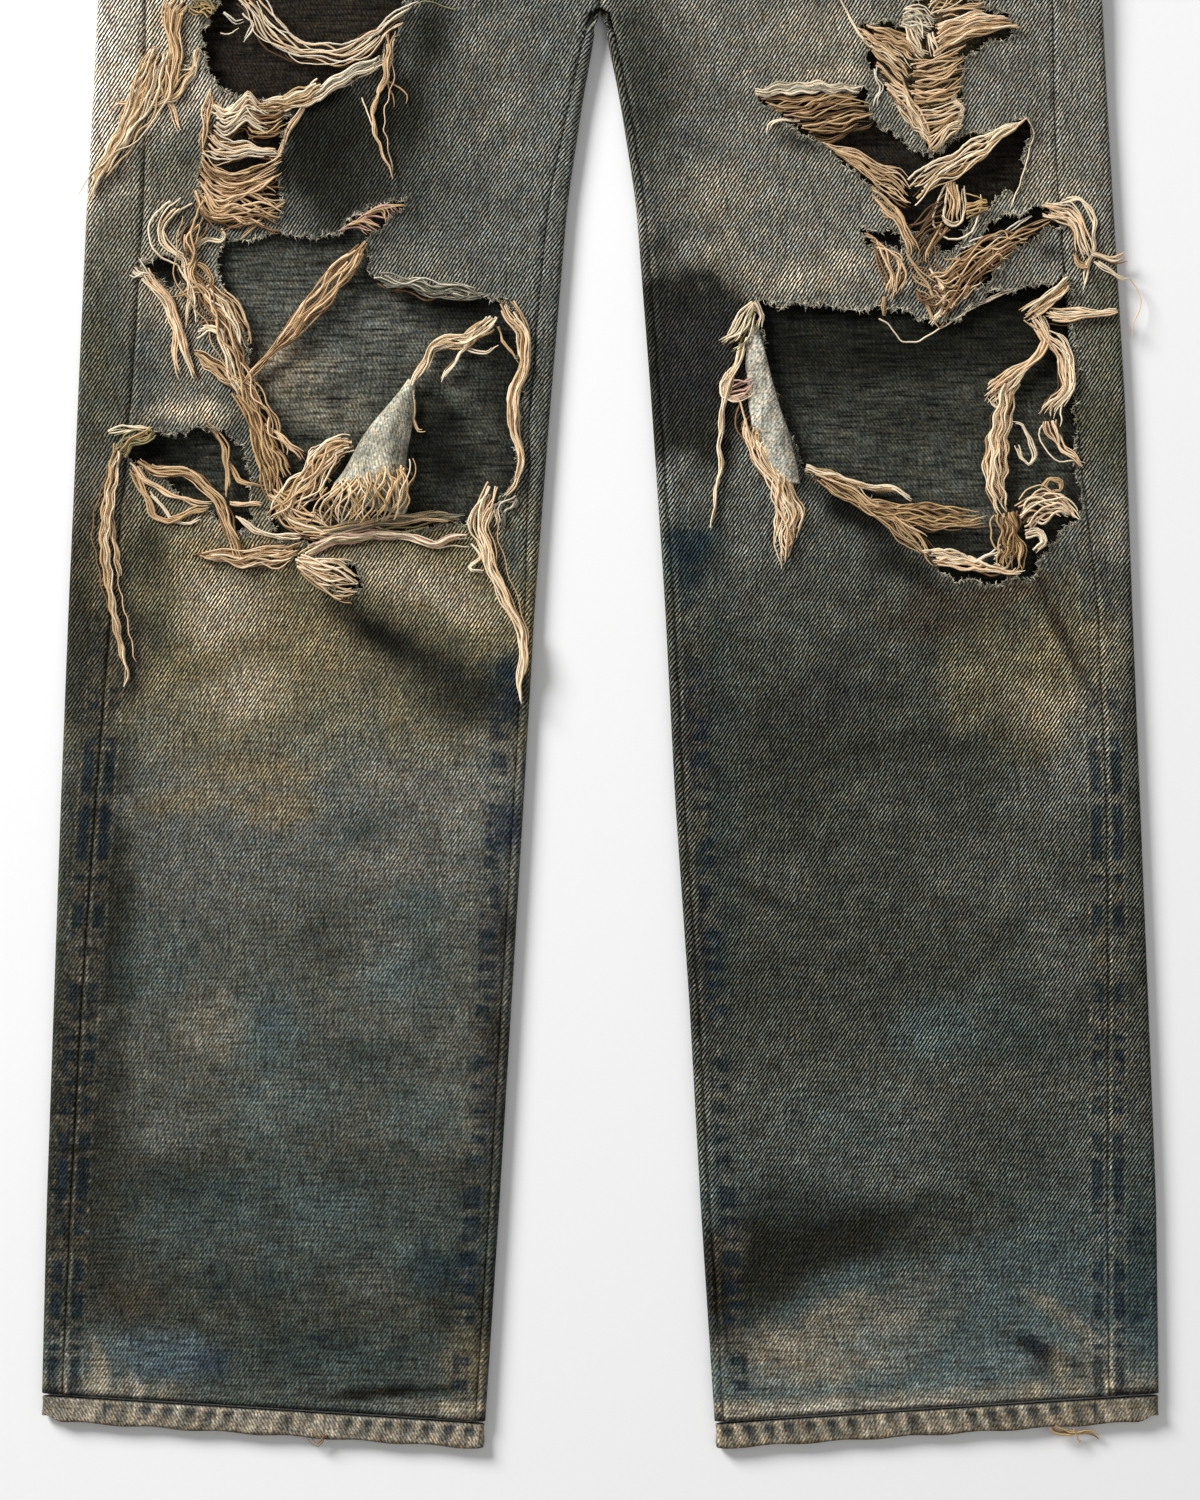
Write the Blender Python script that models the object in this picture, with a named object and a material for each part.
"""Ripped five-pocket jeans lying flat on their back, front side up.

Every cloth piece is a thin wall at its real size: two front panels torn open at thigh and knee, two
back panels that wrap round both edges of the legs, yokes, hems, waistband, pockets and belt loops.
X runs to the wearer's left, Y from the hems to the waist and Z up; metres. The tables below are in
millimetres: `across` is the distance from the centre line, `down` the distance below the crotch.
"""

import math

import bmesh
import bpy
import numpy as np
from mathutils import Vector

MM = 0.001

# Driving dimensions, in millimetres.
CLOTH = 1.2              # one layer of worn denim
GAP = 0.3                # between pieces that are sewn together
FOLD = 2.6               # radius of the side folds, to the middle of the cloth
MIDDLE = 3.4             # height of the front's middle surface, away from the folds
SEAT_LIFT = 2.0          # the back pockets and rear loops lie under the seat and raise it
RISE_WIDTH = 45.0        # over this width the front climbs to the side folds
BACK_RISE = 300.0        # crotch to the top of the waistband at the back
FRONT_RISE = 265.0       # and at the front
BAND_HEIGHT = 38.0
BAND_WALL = 2.4
BAND_FOLD = 1.7          # radius of its side folds, to the middle of the wall
LONGEST = 779.0          # crotch to the hem at the inside of the leg
LOOP_WALL = 1.6
HEM_HEIGHT = 14.0
HEM_WALL = 2.4
HEM_MIDDLE = 4.4         # height of the hem's upper layer, to its middle
HEM_SLOPE = -0.064       # the hem climbs a little towards the outside
FRONT_SLOPE = -0.146     # the front's top edge climbs from the fly to the side
YOKE_SLOPE = -0.082
BACK_SLOPE = 0.024
CROTCH_Y = (LONGEST - BACK_RISE) / 2
BAND_FLOOR = SEAT_LIFT + BAND_WALL / 2
BAND_MIDDLE = BAND_FLOOR + BAND_FOLD
BAND_FRONT = BAND_FLOOR + 2 * BAND_FOLD
BAND_OVERLAP = BAND_WALL + 0.6

SIDES = {"right": -1, "left": 1}
NO_SEAM = GAP / 2

# Edges of a leg lying flat: outer fold, side seam, inside-leg seam and inner fold.
LEG_COLUMNS = ("down", "outer", "side_seam", "inner_seam", "inner")
LEGS = {
    "right": (
        (0, 272.0, 245.4, 5.0, 0.3),
        (50, 274.6, 245.8, 16.2, 9.2),
        (104, 277.8, 246.5, 27.6, 17.3),
        (212, 282.7, 253.5, 37.8, 26.5),
        (320, 287.6, 263.8, 40.2, 34.9),
        (428, 291.9, 272.4, 46.4, 41.1),
        (536, 295.7, 280.0, 52.9, 47.6),
        (644, 299.5, 285.9, 59.4, 54.1),
        (783, 303.0, 292.0, 68.4, 63.1),
    ),
    "left": (
        (0, 272.0, 244.9, 5.0, 0.3),
        (50, 274.6, 245.9, 16.1, 10.8),
        (104, 277.8, 248.1, 24.5, 19.2),
        (212, 284.3, 256.2, 32.9, 27.6),
        (320, 288.1, 269.2, 40.2, 34.9),
        (428, 292.4, 274.1, 45.8, 40.5),
        (536, 296.8, 275.1, 53.4, 48.1),
        (644, 301.1, 274.6, 59.4, 54.1),
        (783, 303.0, 276.0, 68.4, 63.1),
    ),
}
HIP_COLUMNS = ("down", "outer", "side_seam")
HIP = (
    (-300, 200.0, 176.0),
    (-257, 207.0, 182.0),
    (-230, 220.0, 195.0),
    (-180, 241.0, 215.0),
    (-120, 258.0, 232.0),
    (-60, 268.0, 241.5),
)

# Rows and columns of the front panels. A column is a share of the width from inside to outside.
FRONT_ROWS = (-227, -200, -172, -150, -120, -90, -60, -28, 0, 15, 30, 50, 76, 104, 125, 146, 168, 190, 212,
              234, 256, 278, 300, 320, 345, 384, 428, 480, 536, 590, 644, 682, 714, 744, 768)
FRONT_COLUMNS = (0, 0.04, 0.11, 0.22, 0.36, 0.52, 0.68, 0.81, 0.9, 0.96, 1)
BACK_ROWS = (-192, -155, -120, -60, -20, 0, 15, 50, 104, 158, 212, 266, 320, 374, 428, 482, 536, 590, 644,
             706, 768)

# Pocket openings: a quarter oval between the waistband and the side seam.
SCOOP_WIDTH = 88.0
SCOOP_HEIGHT = 112.0
FACING_DROP = 2.0        # the facing lies this far below the front panel
FACING_UNDER = 16.0      # and reaches this far under it

# Where the worn cloth stands up: centre, half-length, half-width, turn in degrees and height.
FOLDS = (                # side, across, down, long, wide, turn, height
    ("right", 215, 20, 38, 16, 88, 2.2),
    ("right", 150, 62, 46, 14, -20, 1.6),
    ("right", 235, 105, 60, 13, 84, 1.8),
    ("right", 95, 140, 52, 15, 6, 2.4),
    ("right", 205, 190, 46, 12, 78, 2.0),
    ("right", 232, 222, 34, 12, 4, 1.8),
    ("right", 120, 300, 62, 15, -5, 3.4),
    ("right", 222, 296, 40, 13, 28, 2.2),
    ("right", 100, 325, 54, 9, -24, 2.8),
    ("right", 118, 348, 50, 11, -25, -1.6),
    ("right", 205, 398, 32, 9, -6, 1.1),
    ("right", 130, 741, 44, 9, 0, 1.0),
    ("left", 128, 62, 42, 13, 30, 1.6),
    ("left", 222, 44, 46, 12, 96, 1.5),
    ("left", 120, 150, 46, 14, 2, 2.4),
    ("left", 228, 138, 36, 11, -18, 2.2),
    ("left", 88, 214, 52, 12, 74, 2.0),
    ("left", 266, 222, 56, 11, 90, 1.6),
    ("left", 132, 282, 50, 14, 30, 2.6),
    ("left", 222, 322, 38, 12, 0, 2.4),
    ("left", 250, 350, 46, 8, 65, 1.6),
    ("left", 118, 700, 66, 12, -20, 2.6),
    ("left", 104, 678, 60, 13, -22, -1.8),
    ("left", 72, 478, 30, 9, 18, 1.1),
    ("left", 238, 726, 34, 9, 25, 0.9),
)

# Rips through the front panels, as outlines of (across, down) points.
RIPS = {
    "right": {
        "thigh": ((195, -23), (151, -29), (111, -21), (103, -2), (119, 29), (146, 44), (177, 51), (206, 46),
                  (216, 23), (211, 4)),
        "thigh_slit": ((233, 23), (221, 24), (221, 31), (230, 31)),
        "ladder": ((206, 57), (167, 57), (169, 64), (177, 86), (171, 103), (175, 115), (197, 115), (218, 98),
                   (216, 82)),
        "knee": ((204, 124), (145, 122), (123, 106), (104, 103), (110, 111), (126, 125), (124, 144),
                 (85, 154), (51, 157), (43, 172), (44, 250), (54, 268), (73, 279), (137, 286), (170, 290),
                 (179, 284), (178, 262), (182, 234), (186, 206), (192, 181), (208, 143)),
        "arch": ((260, 240), (254, 231), (226, 229), (212, 225), (197, 232), (190, 244), (188, 266),
                 (190, 286), (207, 277), (243, 251)),
        "slit": ((249, 137), (223, 133), (221, 151), (242, 148)),
        "tail": ((163, 300), (138, 298), (127, 307), (132, 317), (149, 313)),
    },
    "left": {
        "spine": ((176, -24), (199, -24), (198, -4), (208, 1), (219, 3), (225, 9), (222, 16), (200, 23),
                  (195, 32), (196, 50), (192, 63), (179, 77), (171, 65), (158, 47), (146, 30), (141, 9),
                  (154, 8), (167, 8), (172, -4)),
        "lens": ((85, 47), (114, 43), (144, 43), (146, 59), (159, 69), (179, 81), (193, 70), (233, 60),
                 (227, 98), (214, 101), (189, 132), (165, 116), (139, 88), (104, 63)),
        "arch": ((194, 134), (216, 113), (239, 107), (252, 116), (230, 126), (218, 137), (209, 149),
                 (192, 156), (186, 144)),
        "small_slit": ((141, 119), (162, 122), (165, 130), (145, 129)),
        "knee": ((84, 159), (111, 161), (162, 163), (184, 171), (201, 163), (211, 153), (235, 151),
                 (253, 145), (257, 190), (255, 215), (260, 274), (243, 290), (234, 307), (212, 311),
                 (190, 308), (165, 283), (139, 260), (111, 250), (99, 222), (90, 195)),
    },
}

# Pulled yarns that hang in a bundle: half-width at the start, the middle and the end, then the route.
FRINGE_THICKNESS = 2.2
FRINGE_CLEARANCE = 0.7
FRINGE = {
    "fringe_right_thigh_arc": ((3, 6, 3), ((192, 0), (168, 18), (140, 28), (118, 17), (100, 2))),
    "fringe_right_outer_tail": ((6, 5, 2), ((231, -4), (237, 24), (247, 46), (260, 70), (273, 99))),
    "fringe_right_inner_thread": ((3, 2, 1), ((118, 32), (121, 50), (124, 63), (119, 77), (112, 95))),
    "fringe_right_ladder": ((16, 17, 14), ((190, 55), (191, 75), (195, 95), (194, 114))),
    "fringe_right_chain": ((3, 4, 7, 6), ((219, 94), (236, 113), (236, 127), (222, 142), (206, 156),
                                          (195, 172), (191, 192), (193, 208), (185, 228))),
    "fringe_right_slit_tail": ((3, 3, 2), ((250, 142), (236, 158), (228, 181), (229, 202))),
    "fringe_right_diagonal": ((2, 6, 3), ((125, 126), (143, 141), (160, 161), (174, 184))),
    "fringe_right_knee_left": ((4, 9, 7), ((178, 238), (166, 252), (160, 268), (163, 280))),
    "fringe_right_knee_lower": ((3, 5, 5, 4, 3), ((257, 246), (243, 255), (226, 253), (213, 263), (203, 284),
                                                  (188, 297), (160, 298), (130, 293), (100, 289), (78, 287))),
    "fringe_right_outer_hang": ((4, 3, 3, 2), ((238, 226), (256, 226), (265, 238), (267, 266), (266, 302),
                                               (261, 332), (255, 364))),
    "fringe_right_flap_cord": ((2, 2, 4), ((99, 196), (90, 181), (76, 177), (62, 170))),
    "fringe_right_inner_hang": ((3, 3, 3, 6, 3, 2), ((51, 159), (44, 176), (41, 194), (47, 212), (48, 230),
                                                     (46, 250), (57, 270), (62, 288), (54, 309), (47, 332),
                                                     (43, 352), (45, 377))),
    "fringe_left_spine": ((30, 32, 26, 14, 3), ((184, -24), (184, 0), (178, 24), (180, 52), (179, 74))),
    "fringe_left_lens_left": ((3, 6, 7, 4), ((88, 50), (112, 60), (138, 78), (156, 94), (164, 106))),
    "fringe_left_lens_right": ((4, 6, 4), ((171, 104), (190, 90), (214, 74), (231, 63))),
    "fringe_left_column": ((7, 11, 6), ((178, 112), (181, 126), (180, 142), (179, 156))),
    "fringe_left_arch": ((3, 6, 5), ((234, 115), (219, 124), (204, 139), (195, 153), (187, 170))),
    "fringe_left_outer_hang": ((4, 4, 2), ((246, 106), (256, 116), (262, 136), (286, 144))),
    "fringe_left_knee_right": ((4, 8, 6, 4), ((250, 150), (236, 163), (236, 180), (227, 198), (217, 214),
                                              (213, 232), (211, 252), (216, 272))),
    "fringe_left_knee_nest": ((3, 4, 12), ((255, 194), (254, 214), (246, 232), (247, 254), (242, 278))),
    "fringe_left_knee_edge": ((3, 3, 2), ((82, 162), (73, 178), (66, 196), (64, 222), (62, 250), (60, 281))),
    "fringe_left_tassel": ((6, 6, 2), ((98, 263), (99, 282), (100, 303))),
    "fringe_left_knee_lower": ((3, 5, 4), ((116, 253), (147, 273), (170, 289), (188, 304), (212, 309),
                                           (233, 306))),
}

# The torn tongue at the right knee is a half cone, open below; widest at its frayed end.
CONE_TIP = (101, 203, 2.5, 3.0)         # across, down, radius, height
CONE_END = (124, 268, 19.0, 10.0)
CONE_FLOOR = 2.2
CONE_STEPS = 6
CONE_TURNS = (-100, -60, -20, 20, 60, 100)

# The turned-back strip at the left knee: its free edge and its fold along the hole.
STRIP = (                # down, free edge, fold edge, height
    (172, 80, 85, 1.5),
    (190, 79, 90, 3.0),
    (210, 80, 95, 4.0),
    (230, 83, 102, 4.5),
    (247, 88, 109, 4.0),
    (257, 95, 112, 2.0),
)

DENIM = ("denim", (0.16, 0.17, 0.15), 0.85, 0.0)
REVERSE = ("denim_reverse", (0.36, 0.38, 0.38), 0.9, 0.0)
YARN = ("yarn", (0.68, 0.55, 0.40), 0.85, 0.0)
BRASS = ("brass", (0.45, 0.36, 0.22), 0.4, 0.9)


def material(finish):
    name, colour, roughness, metallic = finish
    made = bpy.data.materials.get(name)
    if made is None:
        made = bpy.data.materials.new(name)
        made.use_nodes = True
        shader = made.node_tree.nodes["Principled BSDF"]
        shader.inputs["Base Color"].default_value = (*colour, 1.0)
        shader.inputs["Roughness"].default_value = roughness
        shader.inputs["Metallic"].default_value = metallic
    return made


def place(across, down, height):
    """A point in metres from its place on the garment in millimetres; across is signed here."""
    return Vector((across, CROTCH_Y - down, height)) * MM


def smooth_step(low, high, value):
    share = min(1.0, max(0.0, (value - low) / (high - low)))
    return share * share * (3.0 - 2.0 * share)


def column(rows, columns, name):
    return [row[columns.index(name)] for row in rows]


def edge(side, name, down):
    """How far from the centre line an edge of this leg, or of the hip above it, lies."""
    rows = LEGS[side]
    at = column(rows, LEG_COLUMNS, "down")
    values = column(rows, LEG_COLUMNS, name)
    if name in HIP_COLUMNS:
        at = column(HIP, HIP_COLUMNS, "down") + at
        values = column(HIP, HIP_COLUMNS, name) + values
    elif down < 0:
        return NO_SEAM
    return float(np.interp(down, at, values))


def edge_on_row(side, name, down, slope):
    """The same edge where a sloping row crosses it, and how far down that is."""
    across = edge(side, name, down)
    for _ in range(4):
        across = edge(side, name, down + slope * across)
    return across


def lift(down):
    """The seat lies on the back pockets and rear loops, and the legs on the floor itself."""
    return SEAT_LIFT * (1.0 - smooth_step(-30, 60, down))


def fold_top(down):
    return CLOTH / 2 + 2 * FOLD + lift(down)


def front_height(side, across, down):
    """Height of the front's middle surface: low in the middle, up at the folds and over each crease."""
    outside = 1.0 - smooth_step(FOLD, RISE_WIDTH, edge(side, "outer", down) - across)
    inside = 1.0 - smooth_step(FOLD, RISE_WIDTH, across - edge(side, "inner", down))
    inside *= smooth_step(-20, 15, down)
    middle = MIDDLE + 1.6 * lift(down)
    height = middle + (fold_top(down) - middle) * max(outside, inside)
    edge_share = min(1.0, (edge(side, "outer", down) - across) / 12.0)
    for name, centre, centre_down, long, wide, turn, extra in FOLDS:
        if name != side:
            continue
        cosine, sine = math.cos(math.radians(turn)), math.sin(math.radians(turn))
        along = (across - centre) * cosine + (down - centre_down) * sine
        beside = (down - centre_down) * cosine - (across - centre) * sine
        height += edge_share * extra * math.exp(-((along / long) ** 2) - (beside / wide) ** 2)
    return height


def sheared(down, across, slope):
    return down + slope * across


def row_slope(down):
    """The rows of a panel are level, except near the waist and the hem, where they follow its edge."""
    return float(np.interp(down, (-227, -130, 640, 768), (FRONT_SLOPE, 0, 0, HEM_SLOPE)))


def scoop(side, down):
    """The front panel's outer edge: the pocket opening near the waist, and the side seam below it."""
    seam = edge_on_row(side, "side_seam", down, row_slope(down))
    below_band = down - FRONT_ROWS[0]
    if below_band >= SCOOP_HEIGHT:
        return seam
    return seam - SCOOP_WIDTH * math.sqrt(1.0 - (below_band / SCOOP_HEIGHT) ** 2)


def front_grid(side):
    """Middle-surface points of a front panel as (across, down, height), a row for each FRONT_ROWS."""
    grid = []
    for down in FRONT_ROWS:
        slope = row_slope(down)
        inner = edge_on_row(side, "inner_seam", down, slope) + NO_SEAM * (down >= 0)
        outer = scoop(side, down) - NO_SEAM
        row = []
        for share in FRONT_COLUMNS:
            across = inner + (outer - inner) * share
            at = sheared(down, across, slope) + GAP * (down == FRONT_ROWS[0])
            row.append((across, at, front_height(side, across, at)))
        grid.append(row)
    return grid


FRONT_GRIDS = {side: front_grid(side) for side in SIDES}


def whole_grid(side):
    """The front panel's points with those of the back panel's flanges, out to both side folds."""
    grid = []
    for row in FRONT_GRIDS[side]:
        down = row[-1][1]
        seam, height = row[-1][0], row[-1][2]
        fold = edge(side, "outer", down) - FOLD - CLOTH / 2
        top = fold_top(down)
        flange = [((seam + fold) / 2, down, (height + top) / 2), (fold, down, top), (fold + FOLD, down, top)]
        inner = edge(side, "inner", down)
        inside = [(inner, down, max(row[0][2], top * (down > 0)))]
        grid.append(inside + row + flange)
    return grid


WHOLE_GRIDS = {side: whole_grid(side) for side in SIDES}


def surface(side, across, down):
    """Height of the faceted upper layer's middle surface, read between its own points."""
    rows = WHOLE_GRIDS[side]
    at = [float(np.interp(across, [p[0] for p in row], [p[1] for p in row])) for row in rows]
    heights = [float(np.interp(across, [p[0] for p in row], [p[2] for p in row])) for row in rows]
    return float(np.interp(down, at, heights))


def finish_object(name, mesh, finish):
    bmesh.ops.recalc_face_normals(mesh, faces=mesh.faces[:])
    data = bpy.data.meshes.new(name)
    mesh.to_mesh(data)
    mesh.free()
    data.materials.append(material(finish))
    made = bpy.data.objects.new(name, data)
    bpy.context.scene.collection.objects.link(made)
    return made


def add_quads(mesh, rows, wraps):
    """Faces between neighbouring rows of vertices; a row that wraps joins its last vertex to its first."""
    for upper, lower in zip(rows, rows[1:]):
        count = len(upper)
        for index in range(count if wraps else count - 1):
            after = (index + 1) % count
            mesh.faces.new((upper[index], upper[after], lower[after], lower[index]))


def wall(name, outer, inner, finish, wraps=False):
    """A closed sheet of cloth between two grids of points, each (signed across, down, height)."""
    mesh = bmesh.new()
    skins = [[[mesh.verts.new(place(*point)) for point in row] for row in grid] for grid in (outer, inner)]
    for skin in skins:
        add_quads(mesh, skin, wraps)
    for row in (0, -1):
        add_quads(mesh, [skins[0][row], skins[1][row]], wraps)
    if not wraps:
        for end in (0, -1):
            add_quads(mesh, [[row[end] for row in skin] for skin in skins], False)
    return finish_object(name, mesh, finish)


def skins(side, paths, thickness):
    """Outer and inner grids from rows of (across, down, height, out_across, out_height) points."""
    sign = SIDES[side]
    grids = []
    for way in (thickness / 2, -thickness / 2):
        grids.append([[(sign * (a + way * na), d, h + way * nh) for a, d, h, na, nh in row] for row in paths])
    return grids


def turn_round(centre, height, radius, first, last, steps):
    """Points round a fold, from the first angle to the last, with the way out of the cloth."""
    points = []
    for angle in np.radians(np.linspace(first, last, steps)):
        out = (math.cos(angle), math.sin(angle))
        points.append((centre + radius * out[0], height + radius * out[1], *out))
    return points


def back_path(side, down, slope=0.0):
    """One row of a back piece: side seam, outer fold, underside, then inner fold or centre seam."""
    floor = CLOTH / 2 + lift(down)
    middle = floor + FOLD
    outer = edge_on_row(side, "outer", down, slope) - FOLD - CLOTH / 2
    seam = edge_on_row(side, "side_seam", down, slope) + NO_SEAM
    seam_height = front_height(side, seam, sheared(down, seam, slope))
    path = [(seam, seam_height, 0, 1), ((seam + outer) / 2, (seam_height + fold_top(down)) / 2, 0, 1)]
    path += turn_round(outer, middle, FOLD, 90, -90, 5)
    if down > 0:
        inner = edge_on_row(side, "inner", down, slope) + FOLD + CLOTH / 2
        path += [(outer + (inner - outer) * share, floor, 0, -1) for share in (0.25, 0.5, 0.75)]
        path += turn_round(inner, middle, FOLD, 270, 90, 5)
        inseam = max(inner + 1.0, edge_on_row(side, "inner_seam", down, slope) - NO_SEAM)
        path.append((inseam, front_height(side, inseam, sheared(down, inseam, slope)), 0, 1))
    else:
        path += [(outer + (NO_SEAM - outer) * share, floor, 0, -1) for share in (0.25, 0.5, 0.75)]
        path += [(9.0 + (NO_SEAM - 9.0) * step / 5, floor, 0, -1) for step in range(6)]
    return path


def build_back(side):
    rows = []
    for down in BACK_ROWS:
        slope = YOKE_SLOPE * (down == BACK_ROWS[0]) + HEM_SLOPE * (down == BACK_ROWS[-1])
        path = back_path(side, down, slope)
        rows.append([(a, sheared(down, a, slope), h, na, nh) for a, h, na, nh in path])
    wall(f"back_{side}", *skins(side, rows, CLOTH), DENIM)


def band_bottom(across, height):
    """The waistband's lower edge: low at the front, high at the back, and between them at the sides."""
    front = sheared(FRONT_ROWS[0], across, FRONT_SLOPE)
    back = sheared(BAND_HEIGHT - BACK_RISE, across, BACK_SLOPE)
    return back + (front - back) * smooth_step(BAND_MIDDLE - 1.2, BAND_MIDDLE + 1.2, height)


def build_yoke(side):
    rows = []
    bottom, top = BACK_ROWS[0], BAND_HEIGHT - BACK_RISE
    for share, gap in ((0, -GAP), (0.5, 0), (1, 2 * GAP)):
        down = bottom + (top - bottom) * share
        slope = YOKE_SLOPE + (BACK_SLOPE - YOKE_SLOPE) * share
        row = []
        for across, height, out_across, out_height in back_path(side, down, slope):
            at = band_bottom(across, height) if share == 1 else sheared(down, across, slope)
            row.append((across, at + gap, height, out_across, out_height))
        rows.append(row)
    wall(f"yoke_{side}", *skins(side, rows, CLOTH), DENIM)


def build_front(side):
    rows = [[(a, d, h, 0, 1) for a, d, h in row] for row in FRONT_GRIDS[side]]
    panel = wall(f"front_{side}", *skins(side, rows, CLOTH), DENIM)
    cut = panel.modifiers.new("rips", "BOOLEAN")
    cut.operation = "DIFFERENCE"
    cut.solver = "EXACT"
    cut.object = rip_cutter(side)


def rip_cutter(side):
    """One upright prism for each rip."""
    mesh = bmesh.new()
    for outline in RIPS[side].values():
        base = mesh.faces.new([mesh.verts.new(place(SIDES[side] * a, d, -6.0)) for a, d in outline])
        raised = bmesh.ops.extrude_face_region(mesh, geom=[base])["geom"]
        verts = [item for item in raised if isinstance(item, bmesh.types.BMVert)]
        bmesh.ops.translate(mesh, vec=(0, 0, 40 * MM), verts=verts)
    cutter = finish_object(f"rip_cutter_{side}", mesh, DENIM)
    cutter.hide_render = True
    cutter.display_type = "WIRE"
    return cutter


def build_facing(side):
    """The denim behind the pocket opening, a little lower than the front panel."""
    rows = []
    for share in (0, 0.2, 0.45, 0.7, 0.88, 1, 1.12):
        down = FRONT_ROWS[0] + share * SCOOP_HEIGHT
        outer = edge(side, "side_seam", down) - NO_SEAM
        inner = min(scoop(side, down), outer - 14.0) - FACING_UNDER
        row = []
        for step in (0, 0.3, 0.6, 0.85, 1):
            across = inner + (outer - inner) * step
            at = sheared(down, across, row_slope(down)) + GAP * (share == 0)
            row.append((across, at, front_height(side, across, down) - FACING_DROP, 0, 1))
        rows.append(row)
    wall(f"pocket_facing_{side}", *skins(side, rows, CLOTH), DENIM)


def build_hem(side):
    """The turned-up hem: a flat ring round the end of the leg."""
    rows = []
    for down in (LONGEST - HEM_HEIGHT + 4.0 + GAP, LONGEST - HEM_HEIGHT / 2 + 4.0, LONGEST + 4.0):
        outer = edge_on_row(side, "outer", down, HEM_SLOPE) - FOLD - CLOTH / 2
        inner = edge_on_row(side, "inner", down, HEM_SLOPE) + FOLD + CLOTH / 2
        turn = (HEM_MIDDLE - HEM_WALL / 2) / 2 + 0.4
        floor = HEM_WALL / 2
        path = turn_round(outer, floor + turn, turn, 90, -90, 5)
        path += [(outer + (inner - outer) * share, floor, 0, -1) for share in (0.33, 0.67)]
        path += turn_round(inner, floor + turn, turn, 270, 90, 5)
        path += [(inner + (outer - inner) * share, HEM_MIDDLE + 0.2, 0, 1) for share in (0.2, 0.5, 0.8)]
        rows.append([(a, sheared(down, a, HEM_SLOPE), h, na, nh) for a, h, na, nh in path])
    wall(f"hem_{side}", *skins(side, rows, HEM_WALL), DENIM, wraps=True)


def band_path():
    """Once round the waist: over the fly, round the wearer's left, under the seat and back."""
    path = [(across, BAND_FRONT + BAND_OVERLAP, 0, 1) for across in (-20, 6)]
    path += [(across, BAND_FRONT, 0, 1) for across in (34, 90, 150)]
    centre = edge("left", "outer", -280) - BAND_FOLD - BAND_WALL / 2
    path += turn_round(centre, BAND_MIDDLE, BAND_FOLD, 90, -90, 5)
    path += [(across, BAND_FLOOR, 0, -1) for across in (130, 65, 0, -65, -130)]
    path += turn_round(-centre, BAND_MIDDLE, BAND_FOLD, 270, 90, 5)
    path += [(across, BAND_FRONT, 0, 1) for across in (-150, -90, -34, -6, 20)]
    return path


def build_waistband():
    rows = []
    for across, height, out_across, out_height in band_path():
        bottom = band_bottom(abs(across), height)
        rows.append([(across, bottom - up * BAND_HEIGHT, height, out_across, out_height) for up in (0, 1)])
    wall("waistband", *skins("left", rows, BAND_WALL), DENIM)


def build_button():
    """A plain domed shank button at the front of the waistband."""
    mesh = bmesh.new()
    profile = ((8.5, 0.0), (8.5, 1.4), (7.2, 2.3), (4.0, 2.8))
    base = BAND_FRONT + BAND_OVERLAP + BAND_WALL / 2 + GAP
    centre = (-7.0, -FRONT_RISE + BAND_HEIGHT / 2)
    rings = []
    for radius, height in profile:
        angles = [math.tau * step / 16 for step in range(16)]
        rings.append([mesh.verts.new(place(centre[0] + radius * math.cos(a),
                                           centre[1] + radius * math.sin(a), base + height)) for a in angles])
    add_quads(mesh, rings, True)
    mesh.faces.new(rings[0])
    mesh.faces.new(rings[-1])
    finish_object("waist_button", mesh, BRASS)


def build_belt_loop(name, across, front):
    """A folded strip over the waistband, on its outer face."""
    half = 6.0
    low = BAND_FRONT + BAND_WALL / 2 + GAP if front else SEAT_LIFT - GAP - LOOP_WALL
    bottom = band_bottom(abs(across), BAND_FRONT if front else BAND_FLOOR)
    rows = []
    for share in (-0.04, 0.1, 0.5, 0.9, 0.99):
        down = bottom - share * BAND_HEIGHT
        bulge = 1.2 * math.sin(math.pi * min(1.0, max(0.0, share))) * front
        rows.append([(abs(across) + step, down, low + LOOP_WALL / 2 + bulge, 0, 1) for step in (-half, half)])
    wall(name, *skins("left" if across >= 0 else "right", rows, LOOP_WALL), DENIM)


def build_back_pocket(side):
    """A pointed patch lying under the back panel."""
    sign = SIDES[side]
    outline = ((48, -168), (196, -180), (186, -52), (124, -20), (58, -42))
    low, high = 0.0, SEAT_LIFT - GAP
    mesh = bmesh.new()
    base = mesh.faces.new([mesh.verts.new(place(sign * a, d, low)) for a, d in outline])
    raised = bmesh.ops.extrude_face_region(mesh, geom=[base])["geom"]
    verts = [item for item in raised if isinstance(item, bmesh.types.BMVert)]
    bmesh.ops.translate(mesh, vec=(0, 0, (high - low) * MM), verts=verts)
    finish_object(f"back_pocket_{side}", mesh, DENIM)


def build_cone():
    """The tongue of torn cloth that curled into half a cone inside the right knee's hole."""
    start, end = np.array(CONE_TIP, float), np.array(CONE_END, float)
    way = (end[:2] - start[:2]) / np.linalg.norm(end[:2] - start[:2])
    beside = (way[1], -way[0])
    outer, inner = [], []
    for step in range(CONE_STEPS):
        share = step / (CONE_STEPS - 1)
        across, down, radius, height = start + (end - start) * share
        skin_rows = ([], [])
        for angle in np.radians(CONE_TURNS):
            for skin, grow in zip(skin_rows, (CLOTH, 0)):
                reach = (radius + grow) * math.sin(angle)
                rise = (height + grow) * math.cos(angle)
                top = CONE_FLOOR + height * 0.35 + rise
                skin.append((-(across + reach * beside[0]), down + reach * beside[1], top))
        outer.append(skin_rows[0])
        inner.append(skin_rows[1])
    wall("torn_flap_right", outer, inner, REVERSE)


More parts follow.
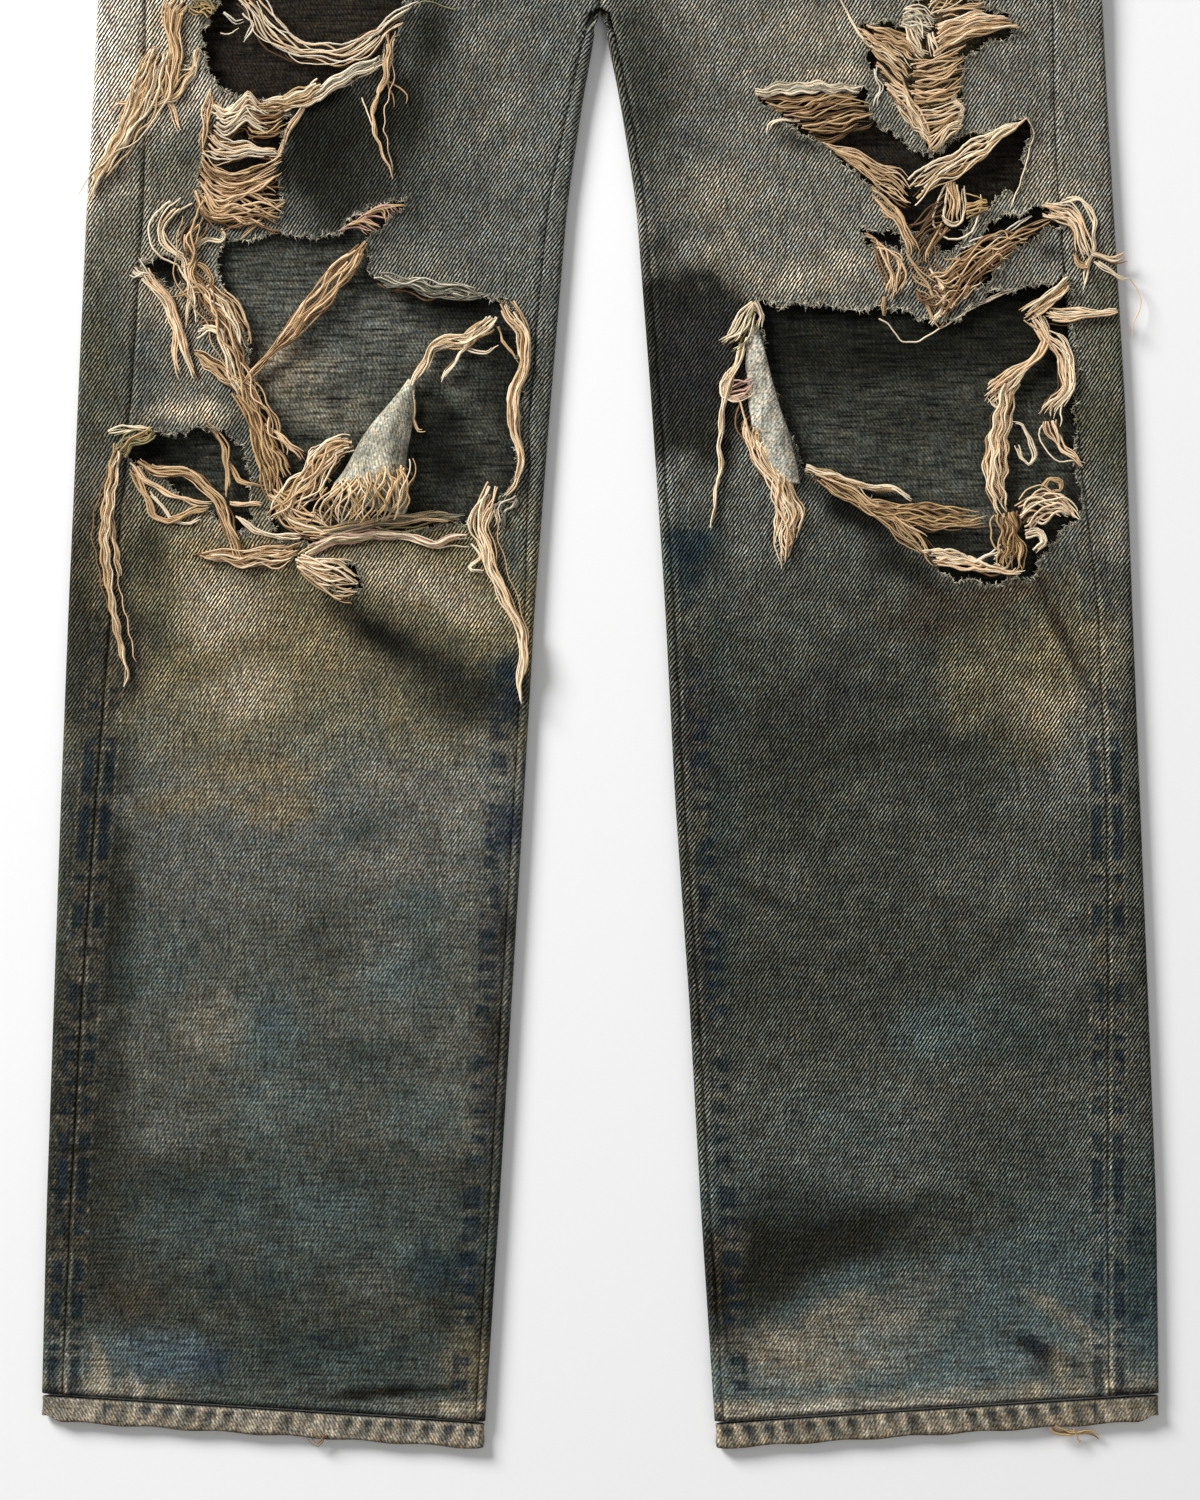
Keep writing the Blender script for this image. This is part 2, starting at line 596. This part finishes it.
def build_strip():
    """The strip beside the left knee's hole, turned back over the front with its reverse showing."""
    outer, inner = [], []
    for down, free_edge, fold_edge, height in STRIP:
        rows = ([], [])
        for share, rise in ((0, 0), (0.3, 0.7), (0.65, 1), (1, 0.45)):
            across = free_edge + (fold_edge - free_edge) * share
            base = surface("left", across, down) + CLOTH / 2 + FRINGE_CLEARANCE
            rows[0].append((across, down, base + CLOTH + rise * height))
            rows[1].append((across, down, base + rise * height))
        outer.append(rows[0])
        inner.append(rows[1])
    wall("torn_flap_left", outer, inner, REVERSE)


def spread(values, count):
    """A few values along a route, read at every step of it."""
    return np.interp(np.linspace(0, 1, count), np.linspace(0, 1, len(values)), values)


def build_fringe(name, half_widths, route):
    """A flattened tube along the route, resting on the front panel or held level over a hole."""
    side = name.split("_")[1]
    sign = SIDES[side]
    points = np.array(route, float)
    ways = np.gradient(points, axis=0)
    ways /= np.linalg.norm(ways, axis=1)[:, None]
    mesh = bmesh.new()
    rings = []
    for (across, down), way, half in zip(points, ways, spread(half_widths, len(points))):
        ring = []
        for reach, rise in ((1, 0.3), (0.55, 1), (-0.55, 1), (-1, 0.3), (-0.6, 0), (0.6, 0)):
            a = across + reach * half * way[1]
            d = down - reach * half * way[0]
            low = surface(side, a, d) + CLOTH / 2 + FRINGE_CLEARANCE
            ring.append(mesh.verts.new(place(sign * a, d, low + rise * FRINGE_THICKNESS)))
        rings.append(ring)
    add_quads(mesh, rings, True)
    mesh.faces.new(rings[0])
    mesh.faces.new(rings[-1])
    finish_object(name, mesh, YARN)


def main():
    for old in list(bpy.data.objects):
        bpy.data.objects.remove(old)
    for side in SIDES:
        build_front(side)
        build_back(side)
        build_yoke(side)
        build_facing(side)
        build_hem(side)
        build_back_pocket(side)
    build_waistband()
    build_button()
    build_belt_loop("belt_loop_front_right", -92, True)
    build_belt_loop("belt_loop_front_left", 92, True)
    build_belt_loop("belt_loop_back_right", -120, False)
    build_belt_loop("belt_loop_back_centre", 0, False)
    build_belt_loop("belt_loop_back_left", 120, False)
    build_cone()
    build_strip()
    for name, (half_widths, route) in FRINGE.items():
        build_fringe(name, half_widths, route)


main()
